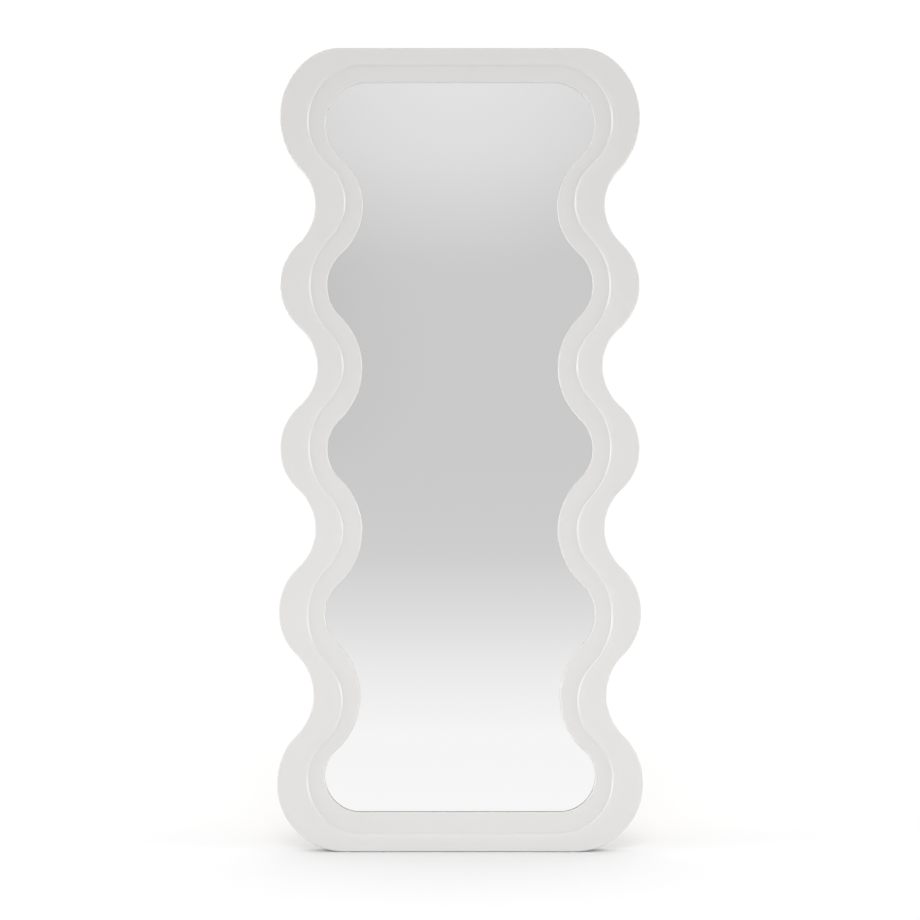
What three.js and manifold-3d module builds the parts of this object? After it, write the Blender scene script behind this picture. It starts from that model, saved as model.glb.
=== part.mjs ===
// Full-length floor mirror with a wavy two-band frame and a fold-flat stand behind it.
// Millimetres, +Z up, front towards -Y. The mirror is laid out upright and then leaned back.
import * as THREE from 'three';
import { mergeVertices } from 'three/addons/utils/BufferGeometryUtils.js';
import Module from 'manifold-3d';

const wasm = await Module();
wasm.setup();

// ---- Driving dimensions ----------------------------------------------------------------------
const lean = THREE.MathUtils.degToRad(8); // the mirror from upright
const standLean = THREE.MathUtils.degToRad(7.5); // the open stand from upright, the other way
const gap = 0.3; // between pieces that rest on each other

// Each long side is a chain of arcs that touch: crest, hollow, crest ... from the floor up.
// heights and halves are where each arc reaches its furthest, firstRadius is the radius of the
// lowest crest's upper part, and the end crests turn into the straight bottom and top edges.
// The outer edge's top corners are fuller than their height: topRadius up to topTurn, and from
// there a tighter arc that ends level with the top edge.
const outerEdge = {
  bottom: 0,
  top: 1800,
  heights: [150, 343, 528, 713, 893, 1076, 1261, 1441, 1643],
  halves: [405.5, 325.3, 403.1, 322.4, 401.7, 319.7, 403.4, 326.1, 406.2],
  firstRadius: 148,
  topRadius: 170,
};
const stepLine = {
  bottom: 39,
  top: 1758,
  heights: [158, 329, 519, 707, 894, 1077.5, 1260, 1448.5, 1634],
  halves: [338, 261.5, 338.5, 262, 337, 262, 337, 259, 343],
  firstRadius: 107,
};
const sightLine = {
  bottom: 86,
  top: 1721,
  heights: [165, 340, 522.5, 709, 891.5, 1073.5, 1260, 1438.5, 1627],
  halves: [299.5, 221.5, 299.5, 217.5, 296, 218.5, 297.5, 218, 303],
  firstRadius: 75,
};
const arcSteps = 4; // straight facets from an arc's furthest point to where it meets the next arc
const cornerSteps = 8;
const topTurn = THREE.MathUtils.degToRad(50);
const topSteps = 5; // of the cornerSteps, up to topTurn

// Depths are measured from the raised front face towards the back.
const faceDrop = 6; // from the raised band down to the flat inner band
const rollDrop = 2.7; // part of that drop that the raised band loses as it rolls to the step
const rollWidth = 28;
const rollEnd = 3.6; // from the step line to the foot of the roll, where a slanted wall begins
const rollSteps = 4;
const edgeRadius = 3; // outside edge of the raised band
const lipRadius = 4; // rounded lip at the glass
const midCut = 1 - Math.SQRT1_2; // how far a rounding's middle lies in, in radii
const glassFace = 10.5;
const glassThickness = 4;
const packingThickness = 3;
const mouldingBack = 18;
const coreBack = 36;
const coverThickness = 3;
const coverInset = 6; // cover edge inside the frame's outside edge
const glassMargin = 12; // glass hidden behind the lip
const rebateMargin = 13;
const openingMargin = 13.5; // opening of the core ring

const battenHeight = 70;
const battenPlay = 1; // from each end to the core ring
const battens = { upper_batten: 1150, middle_batten: 720, lower_batten: 300 };

const pivotHeight = 1150;
const bracketPlate = 2.5;
const bracketLength = 84;
const earGap = 19;
const earRadius = 11;
const earFoot = 26; // half length of an ear where it leaves the plate
const earShoulder = 0.35; // radians, where the ear's round end begins
const pivotOffset = 13.8; // from the bracket's plate to the pin
const pinRadius = 3;
const pinHole = 3.3;
const pinHead = { radius: 5, height: 2, edge: 1 };
const pinClip = { radius: 4.6, height: 1.8 };
const bracketScrewOffset = 32;

const tubeRadius = 9;
const tubeWall = 1.5;
const tubeSides = 10;
const standHalf = 215; // from the middle to each leg
const bendRadius = 60;
const bendSteps = 5;
const plugHead = { radius: 8.8, height: 2, edge: 0.8 };
const plugStem = { play: 0.6, length: 10 };
const sleeve = { radius: 13, length: 60, edge: 1.2, centre: 115 };

const cradleWidth = 30;
const cradlePlay = 0.5; // round the folded foot bar
const cradleArm = 2.5;
const cradleLip = 4; // of each arm past the bar's centre line
const cradleTab = 12; // of the plate above its screw
const cradleScrewHeight = 47;

const hangerX = 276;
const hangerHeight = 1462;
const hangerPlate = 1.6;
const hangerWidth = 16;
const hangerLength = 52;
const hangerShoulder = 2; // from the knuckle's centre line down to the full width of the strap
const knuckleRadius = 3.6;
const knuckleLength = 12;
const knucklePlay = 0.4;
const wireRadius = 1.8;
const wireSides = 8;
const ringHalf = 14;
const ringArm = 7;
const ringCorner = 3;
const hangerScrews = { upper: 28, lower: 44 }; // below the knuckle

const screwRadius = 1.6;
const screwHead = { radius: 4, height: 2.2 };
const screwTip = 2;
const screwSides = 8;
const drillRadius = 1.9;
const screwLengths = { cover: 15, bracket: 18, hanger: 17, cradle: 18 };
const endScrews = { x: 120, belowTop: 36, aboveBottom: 38 };

const pad = { length: 80, depth: 30, thickness: 2, centre: 205, inset: 3 };

// Places that follow from the dimensions above.
const glassBack = glassFace + glassThickness;
const packingFront = glassBack + gap;
const packingBack = packingFront + packingThickness;
const coverFront = coreBack + gap;
const coverBack = coverFront + coverThickness;
const plateFront = coverBack + gap;
const pivotDepth = plateFront + bracketPlate + pivotOffset;
const openAngle = lean + standLean;
const stubLength = (pivotOffset - gap - tubeRadius * Math.cos(openAngle)) / Math.sin(openAngle);
const tubeEnd = stubLength - plugHead.height;
const lift = pad.thickness + gap;
const pivotZ = pivotHeight * Math.cos(lean) - pivotDepth * Math.sin(lean) + lift;
const legLength = (pivotZ - sleeve.radius) / Math.cos(standLean);
const foldedBar = pivotHeight - legLength; // height of the folded foot bar
const sides = { left: -1, right: 1 };

// ---- Materials -------------------------------------------------------------------------------
const finishes = {
  lacquer: { color: 0xdfddda, roughness: 0.5, metalness: 0 },
  silveredGlass: { color: 0xd9dcdc, roughness: 0.03, metalness: 1 },
  foam: { color: 0xf2f2f0, roughness: 0.9, metalness: 0 },
  pine: { color: 0xcfa873, roughness: 0.75, metalness: 0 },
  hardboard: { color: 0x8a6a4a, roughness: 0.7, metalness: 0 },
  zincSteel: { color: 0xb9bcc0, roughness: 0.35, metalness: 1 },
  coatedSteel: { color: 0xe2dfd8, roughness: 0.45, metalness: 0.1 },
  nylon: { color: 0xd8d6d0, roughness: 0.5, metalness: 0 },
  rubber: { color: 0x2b2b2c, roughness: 0.85, metalness: 0 },
};

function piece(name, geometry, finish) {
  const mesh = new THREE.Mesh(geometry, new THREE.MeshStandardMaterial(finishes[finish]));
  mesh.name = name;
  return mesh;
}

// ---- Solids ----------------------------------------------------------------------------------
function toSolid(geometry) {
  const bare = geometry.clone();
  bare.deleteAttribute('normal');
  bare.deleteAttribute('uv');
  const merged = mergeVertices(bare, 1e-4);
  return new wasm.Manifold(new wasm.Mesh({
    numProp: 3,
    vertProperties: merged.attributes.position.array,
    triVerts: Uint32Array.from(merged.index.array),
  }));
}

function toGeometry(solid) {
  const mesh = solid.getMesh();
  const positions = new THREE.BufferAttribute(Float32Array.from(mesh.vertProperties), 3);
  const geometry = new THREE.BufferGeometry();
  geometry.setAttribute('position', positions);
  geometry.setIndex(new THREE.BufferAttribute(Uint32Array.from(mesh.triVerts), 1));
  return geometry;
}

// Skins a list of closed loops with as many points each, the last loop joined to the first.
function loopedSkin(loops) {
  const size = loops[0].length;
  const positions = loops.flatMap((loop) => loop.flatMap((point) => [point.x, point.y, point.z]));
  const index = [];
  loops.forEach((loop, row) => {
    const next = (row + 1) % loops.length;
    for (let i = 0; i < size; i += 1) {
      const j = (i + 1) % size;
      index.push(row * size + i, row * size + j, next * size + j);
      index.push(row * size + i, next * size + j, next * size + i);
    }
  });
  const geometry = new THREE.BufferGeometry();
  geometry.setAttribute('position', new THREE.BufferAttribute(Float32Array.from(positions), 3));
  geometry.setIndex(signedVolume(positions, index) < 0 ? index.reverse() : index);
  return geometry;
}

function signedVolume(positions, index) {
  const corner = (i) => new THREE.Vector3(...positions.slice(3 * i, 3 * i + 3));
  let volume = 0;
  for (let i = 0; i < index.length; i += 3) {
    volume += corner(index[i]).dot(corner(index[i + 1]).cross(corner(index[i + 2])));
  }
  return volume;
}

// The round section of a tube or wire in the plane across its path, as a loop of points.
function roundLoop({ x, z, angle }, radius, count) {
  return Array.from({ length: count }, (_, k) => {
    const turn = ((k + 0.5) / count) * 2 * Math.PI;
    const out = radius * Math.cos(turn);
    const y = radius * Math.sin(turn);
    return new THREE.Vector3(x + out * Math.cos(angle), y, z + out * Math.sin(angle));
  });
}

// A flat sheet with an outline in x and z, from one depth to another.
function sheet(points, front, back) {
  const shape = new THREE.Shape(points.map((p) => new THREE.Vector2(p.x, p.z)));
  const geometry = new THREE.ExtrudeGeometry(shape, { depth: back - front, bevelEnabled: false });
  return geometry.rotateX(Math.PI / 2).translate(0, back, 0);
}

// A solid of revolution about x, y or z; profile points are [radius, along].
function turned(profile, axis, segments) {
  const points = profile.map(([radius, along]) => new THREE.Vector2(radius, along));
  const geometry = new THREE.LatheGeometry(points, segments);
  if (axis === 'x') geometry.rotateZ(-Math.PI / 2);
  if (axis === 'z') geometry.rotateX(Math.PI / 2);
  return geometry;
}

function rod(radius, from, to, axis, segments) {
  return turned([[0, from], [radius, from], [radius, to], [0, to]], axis, segments);
}

// ---- Wavy outlines ---------------------------------------------------------------------------
// Two arcs that touch have radii adding up to (rise^2 + run^2) / (2 rise), so each radius
// follows from the last.
function arcRadii(edge) {
  const radii = [edge.firstRadius];
  for (let i = 1; i < edge.heights.length; i += 1) {
    const run = edge.heights[i] - edge.heights[i - 1];
    const rise = Math.abs(edge.halves[i] - edge.halves[i - 1]);
    radii.push((rise * rise + run * run) / (2 * rise) - radii[i - 1]);
  }
  return radii;
}

// The closed outline, up the right side and down the left. Each point has its outward normal.
function outline(edge) {
  const radii = arcRadii(edge);
  const last = radii.length - 1;
  const side = [];
  const centred = (x0, z0, sign, radius, from, to, steps) => {
    for (let k = 0; k <= steps; k += 1) {
      const angle = from + ((to - from) * k) / steps;
      const nx = Math.cos(angle);
      const x = x0 + sign * radius * nx;
      const z = z0 + radius * Math.sin(angle);
      const previous = side[side.length - 1];
      if (!previous || Math.hypot(previous.x - x, previous.z - z) > 0.01) {
        side.push({ x, z, nx, nz: sign * Math.sin(angle) });
      }
    }
  };
  const arc = (i, radius, from, to, steps) => {
    const sign = i % 2 === 0 ? 1 : -1;
    centred(edge.halves[i] - sign * radius, edge.heights[i], sign, radius, from, to, steps);
  };
  const joint = (i) => {
    const run = edge.heights[i + 1] - edge.heights[i];
    return Math.asin(run / (radii[i] + radii[i + 1]));
  };
  const topRise = edge.top - edge.heights[last];
  const topRadius = edge.topRadius ?? topRise;
  arc(0, edge.heights[0] - edge.bottom, -Math.PI / 2, 0, cornerSteps);
  for (let i = 0; i <= last; i += 1) {
    if (i > 0) arc(i, radii[i], -joint(i - 1), 0, arcSteps);
    if (i < last) arc(i, radii[i], 0, joint(i), arcSteps);
  }
  const [cos, sin] = [Math.cos(topTurn), Math.sin(topTurn)];
  const tight = (topRise - topRadius * sin) / (1 - sin);
  const tightX = edge.halves[last] - topRadius + (topRadius - tight) * cos;
  const tightZ = edge.heights[last] + (topRadius - tight) * sin;
  arc(last, topRadius, 0, topTurn, topSteps);
  centred(tightX, tightZ, 1, tight, topTurn, Math.PI / 2, cornerSteps - topSteps);
  return [...side, ...side.slice().reverse().map((p) => ({ ...p, x: -p.x, nx: -p.nx }))];
}

const outer = outline(outerEdge);
const step = outline(stepLine);
const sight = outline(sightLine);

// A point moved outwards from an outline at a depth; the bottom is cut to lie flat on the floor.
function at(point, outwards, depth) {
  const z = Math.max(point.z + outwards * point.nz, depth * Math.tan(lean));
  return new THREE.Vector3(point.x + outwards * point.nx, depth, z);
}

const moved = (points, outwards) => points.map((p) => at(p, outwards, 0));

// ---- Frame -----------------------------------------------------------------------------------
// Raised band: flat face, rolled down along rollDrop * t^3 before the step, then a slanted wall.
function outerMoulding() {
  return loopedSkin(outer.map((edge, i) => {
    const section = [
      at(edge, 0, mouldingBack),
      at(edge, 0, edgeRadius),
      at(edge, -midCut * edgeRadius, midCut * edgeRadius),
      at(edge, -edgeRadius, 0),
    ];
    for (let k = 0; k <= rollSteps; k += 1) {
      const t = k / rollSteps;
      section.push(at(step[i], rollWidth + (rollEnd - rollWidth) * t, rollDrop * t ** 3));
    }
    section.push(at(step[i], gap, faceDrop), at(step[i], gap, mouldingBack));
    return section;
  }));
}

// Lower band: flat face, rounded lip at the glass and the rebate behind it.
function innerMoulding() {
  return loopedSkin(sight.map((edge, i) => [
    at(step[i], 0, faceDrop),
    at(edge, lipRadius, faceDrop),
    at(edge, midCut * lipRadius, faceDrop + midCut * lipRadius),
    at(edge, 0, faceDrop + lipRadius),
    at(edge, 0, glassFace - gap),
    at(edge, rebateMargin, glassFace - gap),
    at(edge, rebateMargin, mouldingBack),
    at(step[i], 0, mouldingBack),
  ]));
}

function rearFrame() {
  const ring = loopedSkin(outer.map((edge, i) => [
    at(edge, 0, mouldingBack + gap),
    at(edge, 0, coreBack),
    at(sight[i], openingMargin, coreBack),
    at(sight[i], openingMargin, mouldingBack + gap),
  ]));
  return drilled(toSolid(ring));
}

// ---- Screws ----------------------------------------------------------------------------------
// The cover's screws: one in the middle of the frame at each crest, two at the top and bottom.
function coverScrewPlaces() {
  const edgeToOpening = outerEdge.halves[0] - coverInset - sightLine.halves[0] - openingMargin;
  const inset = edgeToOpening / 2 + coverInset;
  const crests = outerEdge.heights.map((height, i) => [outerEdge.halves[i] - inset, height])
    .filter((_, i) => i % 2 === 0);
  const ends = [
    [endScrews.x, outerEdge.top - endScrews.belowTop],
    [endScrews.x, outerEdge.bottom + endScrews.aboveBottom],
  ];
  return [...crests, ...ends].flatMap(([x, z]) => [[-x, z], [x, z]]);
}

// Every screw goes in from the back: its place there, the face under its head and its length.
const screws = coverScrewPlaces().map(([x, z], i) => {
  const name = `cover_screw_${String(i + 1).padStart(2, '0')}`;
  return { name, x, z, seat: coverBack, length: screwLengths.cover };
});
Object.entries(sides).forEach(([label, side]) => {
  Object.entries({ lower: -1, upper: 1 }).forEach(([end, sign]) => {
    screws.push({
      name: `bracket_screw_${label}_${end}`,
      x: side * standHalf,
      z: pivotHeight + sign * bracketScrewOffset,
      seat: plateFront + bracketPlate,
      length: screwLengths.bracket,
    });
  });
  Object.entries(hangerScrews).forEach(([end, drop]) => {
    screws.push({
      name: `hanger_screw_${label}_${end}`,
      x: side * hangerX,
      z: hangerHeight - drop,
      seat: plateFront + hangerPlate,
      length: screwLengths.hanger,
    });
  });
});
screws.push({
  name: 'cradle_screw',
  x: 0,
  z: cradleScrewHeight,
  seat: plateFront + cradleArm,
  length: screwLengths.cradle,
});

// Pan-headed screw along y, its tip towards the front.
function screw(length) {
  const { radius, height } = screwHead;
  return turned([
    [0, gap - length],
    [screwRadius, gap - length + screwTip],
    [screwRadius, gap],
    [radius, gap],
    [radius, gap + 0.35 * height],
    [0.65 * radius, gap + 0.9 * height],
    [0, gap + height],
  ], 'y', screwSides);
}

// A screw hole along y through a plate from one depth to another.
function drill(x, from, to, z) {
  return toSolid(rod(drillRadius, from - 1, to + 1, 'y', screwSides).translate(x, 0, z));
}

function drilled(solid) {
  const holes = screws.map(({ x, z, seat, length }) => drill(x, seat - length, seat, z));
  return toGeometry(holes.reduce((result, hole) => result.subtract(hole), solid));
}

// ---- Behind the glass ------------------------------------------------------------------------
// The narrowest half width of the core ring's opening about a height.
function openingHalf(height) {
  const inside = moved(sight, openingMargin)
    .filter((p) => p.x > 0 && Math.abs(p.z - height) < battenHeight);
  return Math.min(...inside.map((p) => p.x));
}

function batten(height) {
  const front = packingBack + gap;
  const width = 2 * (openingHalf(height) - battenPlay);
  const bar = new THREE.BoxGeometry(width, coreBack - front, battenHeight);
  return drilled(toSolid(bar.translate(0, (front + coreBack) / 2, height)));
}

function backCover() {
  return drilled(toSolid(sheet(moved(outer, -coverInset), coverFront, coverBack)));
}

// ---- Stand -----------------------------------------------------------------------------------
// Bracket about its pin: a plate between two ears that end in a round about the pin.
function bracket() {
  const half = earGap / 2 + bracketPlate;
  const front = -pivotOffset - bracketPlate;
  const plate = new THREE.BoxGeometry(2 * half, bracketPlate, bracketLength);
  const profile = new THREE.Shape();
  profile.moveTo(-earFoot, front);
  profile.lineTo(earFoot, front);
  profile.lineTo(earRadius * Math.cos(earShoulder), earRadius * Math.sin(earShoulder));
  profile.absarc(0, 0, earRadius, earShoulder, Math.PI - earShoulder, false);
  profile.closePath();
  let solid = toSolid(plate.translate(0, front + bracketPlate / 2, 0));
  [-half, earGap / 2].forEach((x) => {
    const settings = { depth: bracketPlate, bevelEnabled: false, curveSegments: 8 };
    const ear = new THREE.ExtrudeGeometry(profile, settings);
    solid = solid.add(toSolid(ear.rotateY(-Math.PI / 2).translate(x + bracketPlate, 0, 0)));
  });
  solid = solid.subtract(toSolid(rod(pinHole, -half - 1, half + 1, 'x', 12)));
  [-bracketScrewOffset, bracketScrewOffset].forEach((z) => {
    solid = solid.subtract(drill(0, front, front + bracketPlate, z));
  });
  return toGeometry(solid);
}

// Headed pin with its head outwards at +x and a retaining ring on its other end.
function hingePin() {
  const reach = earGap / 2 + bracketPlate + gap;
  const { radius, height, edge } = pinHead;
  return turned([
    [0, -reach - pinClip.height],
    [pinClip.radius, -reach - pinClip.height],
    [pinClip.radius, -reach],
    [pinRadius, -reach],
    [pinRadius, reach],
    [radius, reach],
    [radius, reach + height - edge],
    [radius - edge, reach + height],
    [0, reach + height],
  ], 'x', 12);
}

// Centre line of the U, from the left leg's end down, across and up, with its directions.
function standPath() {
  const stations = [{ x: -standHalf, z: tubeEnd, angle: 0 }];
  [-standHalf + bendRadius, standHalf - bendRadius].forEach((x, corner) => {
    for (let k = 0; k <= bendSteps; k += 1) {
      const angle = (corner + k / bendSteps) * (Math.PI / 2);
      const z = -legLength + bendRadius - bendRadius * Math.sin(angle);
      stations.push({ x: x - bendRadius * Math.cos(angle), z, angle });
    }
  });
  stations.push({ x: standHalf, z: tubeEnd, angle: Math.PI });
  return stations;
}

// The tube's outside is skinned down the path and its bore back up, which leaves both ends open.
function standTube() {
  const path = standPath();
  const outside = path.map((station) => roundLoop(station, tubeRadius, tubeSides));
  const bore = path.map((station) => roundLoop(station, tubeRadius - tubeWall, tubeSides));
  let solid = toSolid(loopedSkin([...outside, ...bore.reverse()]));
  [-standHalf, standHalf].forEach((x) => {
    const hole = rod(pinHole, -tubeRadius - 1, tubeRadius + 1, 'x', 12);
    solid = solid.subtract(toSolid(hole.translate(x, 0, 0)));
  });
  return toGeometry(solid);
}

// Nylon plug: a stem in the tube and a rounded head on its end.
function tubePlug() {
  const stem = tubeRadius - tubeWall - plugStem.play;
  const { radius, edge } = plugHead;
  return turned([
    [0, tubeEnd - plugStem.length],
    [stem, tubeEnd - plugStem.length],
    [stem, tubeEnd + gap],
    [radius, tubeEnd + gap],
    [radius, stubLength - edge],
    [radius - edge, stubLength],
    [0, stubLength],
  ], 'z', 12);
}

function standSleeve() {
  const { radius, length, edge } = sleeve;
  const bore = tubeRadius + gap;
  return turned([
    [bore, -length / 2],
    [radius - edge, -length / 2],
    [radius, -length / 2 + edge],
    [radius, length / 2 - edge],
    [radius - edge, length / 2],
    [bore, length / 2],
    [bore, -length / 2],
  ], 'x', 16);
}

// Cradle about the folded foot bar's centre line: two arms with a round seat between them.
function standCradle() {
  const seat = tubeRadius + cradlePlay;
  const arm = seat + cradleArm;
  const front = plateFront - pivotDepth;
  const screwZ = cradleScrewHeight - foldedBar;
  const shape = new THREE.Shape();
  shape.moveTo(-arm, front);
  shape.lineTo(screwZ + cradleTab, front);
  shape.lineTo(screwZ + cradleTab, front + cradleArm);
  shape.lineTo(arm, front + cradleArm);
  shape.lineTo(arm, cradleLip);
  shape.lineTo(seat, cradleLip);
  shape.absarc(0, 0, seat, 0, -Math.PI, true);
  shape.lineTo(-seat, cradleLip);
  shape.lineTo(-arm, cradleLip);
  shape.closePath();
  const settings = { depth: cradleWidth, bevelEnabled: false, curveSegments: 10 };
  const body = new THREE.ExtrudeGeometry(shape, settings);
  body.rotateY(-Math.PI / 2).translate(cradleWidth / 2, 0, 0);
  return toGeometry(toSolid(body).subtract(drill(0, front, front + cradleArm, screwZ)));
}

// ---- Hangers ---------------------------------------------------------------------------------
// Strap hanger about its knuckle's centre line: a strap with two screw holes, whose narrower
// top end is rolled round the ring's straight bar.
function hanger() {
  const front = -knuckleRadius;
  const strapTop = -hangerShoulder;
  const strapLength = hangerLength - hangerShoulder;
  const strap = new THREE.BoxGeometry(hangerWidth, hangerPlate, strapLength);
  strap.translate(0, front + hangerPlate / 2, strapTop - strapLength / 2);
  const tongue = new THREE.BoxGeometry(knuckleLength, hangerPlate, 2 * hangerShoulder);
  tongue.translate(0, front + hangerPlate / 2, strapTop + hangerShoulder / 2);
  const curl = rod(knuckleRadius, -knuckleLength / 2, knuckleLength / 2, 'x', 12);
  const bore = rod(wireRadius + knucklePlay, -knuckleLength, knuckleLength, 'x', 12);
  let solid = toSolid(strap).add(toSolid(tongue)).add(toSolid(curl)).subtract(toSolid(bore));
  Object.values(hangerScrews).forEach((drop) => {
    solid = solid.subtract(drill(0, front, front + hangerPlate, -drop));
  });
  return toGeometry(solid);
}

// D-shaped ring hanging from its straight bar: two tight corners above and a half round below.
function hangerRing() {
  const quarters = [
    { x: ringHalf - ringCorner, z: -ringCorner, radius: ringCorner, steps: 3 },
    { x: ringCorner - ringHalf, z: -ringCorner, radius: ringCorner, steps: 3 },
    { x: 0, z: -ringArm, radius: ringHalf, steps: 4 },
    { x: 0, z: -ringArm, radius: ringHalf, steps: 4 },
  ];
  const stations = [];
  quarters.forEach(({ x, z, radius, steps }, quarter) => {
    for (let k = 0; k <= steps; k += 1) {
      const angle = (quarter + k / steps) * (Math.PI / 2);
      const station = { x: x + radius * Math.cos(angle), z: z + radius * Math.sin(angle), angle };
      const previous = stations[stations.length - 1];
      if (!previous || Math.hypot(previous.x - station.x, previous.z - station.z) > 0.01) {
        stations.push(station);
      }
    }
  });
  return loopedSkin(stations.map((station) => roundLoop(station, wireRadius, wireSides)));
}

// ---- Assembly --------------------------------------------------------------------------------
const leaned = new THREE.Group(); // everything that leans back with the mirror
leaned.rotation.x = -lean;
leaned.position.z = lift;

const pane = moved(sight, glassMargin);
leaned.add(piece('outer_moulding', outerMoulding(), 'lacquer'));
leaned.add(piece('inner_moulding', innerMoulding(), 'lacquer'));
leaned.add(piece('rear_frame', rearFrame(), 'lacquer'));
leaned.add(piece('mirror_glass', sheet(pane, glassFace, glassBack), 'silveredGlass'));
leaned.add(piece('packing_sheet', sheet(pane, packingFront, packingBack), 'foam'));
Object.entries(battens).forEach(([name, height]) => {
  leaned.add(piece(name, batten(height), 'pine'));
});
leaned.add(piece('back_cover', backCover(), 'hardboard'));
screws.forEach(({ name, x, z, seat, length }) => {
  leaned.add(piece(name, screw(length).translate(x, seat, z), 'zincSteel'));
});
const cradle = standCradle().translate(0, pivotDepth, foldedBar);
leaned.add(piece('stand_cradle', cradle, 'nylon'));

const stand = new THREE.Group(); // turns about its two hinge pins
stand.rotation.x = standLean;
stand.position.set(0, pivotHeight * Math.sin(lean) + pivotDepth * Math.cos(lean), pivotZ);
stand.add(piece('stand_tube', standTube(), 'coatedSteel'));

const onFloor = new THREE.Group();

Object.entries(sides).forEach(([label, side]) => {
  const clevis = bracket().translate(side * standHalf, pivotDepth, pivotHeight);
  leaned.add(piece(`bracket_${label}`, clevis, 'zincSteel'));
  const pin = hingePin().rotateZ(side < 0 ? Math.PI : 0);
  pin.translate(side * standHalf, pivotDepth, pivotHeight);
  leaned.add(piece(`hinge_pin_${label}`, pin, 'zincSteel'));

  stand.add(piece(`tube_plug_${label}`, tubePlug().translate(side * standHalf, 0, 0), 'nylon'));
  const foot = standSleeve().translate(side * sleeve.centre, 0, -legLength);
  stand.add(piece(`stand_sleeve_${label}`, foot, 'rubber'));

  const knuckleDepth = plateFront + knuckleRadius;
  const strap = hanger().translate(side * hangerX, knuckleDepth, hangerHeight);
  leaned.add(piece(`hanger_${label}`, strap, 'zincSteel'));
  const ring = piece(`hanger_ring_${label}`, hangerRing(), 'zincSteel');
  ring.position.set(side * hangerX, knuckleDepth, hangerHeight);
  ring.rotation.x = lean; // hangs plumb
  leaned.add(ring);

  const block = new THREE.BoxGeometry(pad.length, pad.depth, pad.thickness);
  block.translate(side * pad.centre, pad.inset + pad.depth / 2, pad.thickness / 2);
  onFloor.add(piece(`base_pad_${label}`, block, 'rubber'));
});

const group = new THREE.Group();
group.add(leaned, stand, onFloor);

// The origin is on the floor under the middle of the whole object.
group.updateMatrixWorld(true);
const box = new THREE.Box3().setFromObject(group, true);
group.position.set(0, -(box.min.y + box.max.y) / 2, 0);

export default group;
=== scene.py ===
import math

import bmesh
import bpy
import numpy as np
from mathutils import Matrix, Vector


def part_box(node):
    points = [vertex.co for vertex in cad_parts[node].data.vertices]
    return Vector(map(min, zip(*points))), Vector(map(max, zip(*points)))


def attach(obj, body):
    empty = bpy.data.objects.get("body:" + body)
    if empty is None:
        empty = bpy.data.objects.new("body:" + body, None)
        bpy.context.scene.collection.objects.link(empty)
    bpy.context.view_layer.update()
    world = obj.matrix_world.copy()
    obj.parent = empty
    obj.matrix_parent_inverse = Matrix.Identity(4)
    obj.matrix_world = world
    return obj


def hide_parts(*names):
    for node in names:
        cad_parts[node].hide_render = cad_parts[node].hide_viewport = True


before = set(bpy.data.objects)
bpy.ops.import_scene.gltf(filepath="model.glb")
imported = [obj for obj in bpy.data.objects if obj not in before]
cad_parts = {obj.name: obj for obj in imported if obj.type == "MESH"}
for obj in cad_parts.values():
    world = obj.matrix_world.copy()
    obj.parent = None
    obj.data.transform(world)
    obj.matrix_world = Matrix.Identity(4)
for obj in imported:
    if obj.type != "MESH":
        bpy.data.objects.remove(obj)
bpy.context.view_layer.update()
print("frame loaded:", len(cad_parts), "nodes")

mm = 0.001
lean = math.radians(8.0)  # the mirror from upright
standLean = math.radians(7.5)  # the open stand from upright, the other way
gap = 0.3  # millimetres between pieces that rest on each other
padInset = 3.0  # millimetres from the mirror's front bottom edge back to its pads
mergeDistance = 0.002 * mm  # points closer than this are one

# the mirror's front bottom edge and the line of the two hinge pins, from the frame
padLow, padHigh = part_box("base_pad_left")
pinLow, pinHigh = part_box("hinge_pin_left")
edgeLine = np.array([0.0, padLow.y - padInset * mm, padHigh.z + gap * mm])
pinLine = np.array([0.0, (pinLow.y + pinHigh.y) / 2, (pinLow.z + pinHigh.z) / 2])


# turned about X by the angle, y cos a - z sin a and y sin a + z cos a, then moved, from
# millimetres to metres
def placed(points, angle, origin):
    x, y, z = np.moveaxis(np.asarray(points, float), -1, 0)
    c, s = math.cos(angle), math.sin(angle)
    return np.stack([x, y * c - z * s, y * s + z * c], -1) * mm + origin


# x, depth behind the front face and height up the mirror, to the leaning mirror
def onMirror(points):
    return placed(points, -lean, edgeLine)


# x, y, z about the hinge line, to the open stand
def onStand(points):
    return placed(points, standLean, pinLine)


# quad r, c joins the grid points r, c and r + 1, c and r + 1, c + 1 and r, c + 1, and the last
# row or column joins the first where it loops
def gridFaces(rows, columns, loopRows=False, loopColumns=True):
    r, c = np.meshgrid(np.arange(rows - (not loopRows)), np.arange(columns - (not loopColumns)),
                       indexing="ij")
    rNext, cNext = (r + 1) % rows, (c + 1) % columns
    quads = [r * columns + c, rNext * columns + c, rNext * columns + cNext, r * columns + cNext]
    return np.stack(quads, -1).reshape(-1, 4).tolist()


# shells are (points, faces); doubles are merged, so that seams and poles close, and the faces of
# every shell turned outwards
def makePiece(name, shells, body, material, nodes, sharpAt=40):
    points, faces, count = [], [], 0
    for shellPoints, shellFaces in shells:
        flat = shellPoints.reshape(-1, 3)
        points.append(flat)
        faces += [[index + count for index in face] for face in shellFaces]
        count += len(flat)
    mesh = bpy.data.meshes.new(name)
    mesh.from_pydata(np.concatenate(points).tolist(), [], faces)
    work = bmesh.new()
    work.from_mesh(mesh)
    bmesh.ops.remove_doubles(work, verts=work.verts, dist=mergeDistance)
    bmesh.ops.recalc_face_normals(work, faces=work.faces)
    work.to_mesh(mesh)
    work.free()
    mesh.shade_smooth()
    mesh.set_sharp_from_angle(angle=math.radians(sharpAt))
    mesh.materials.append(material)
    piece = bpy.data.objects.new(name, mesh)
    bpy.context.scene.collection.objects.link(piece)
    even = piece.modifiers.new("flatFacesFirst", "WEIGHTED_NORMAL")
    even.keep_sharp = True
    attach(piece, body)
    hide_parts(*nodes)
    return piece


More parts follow.
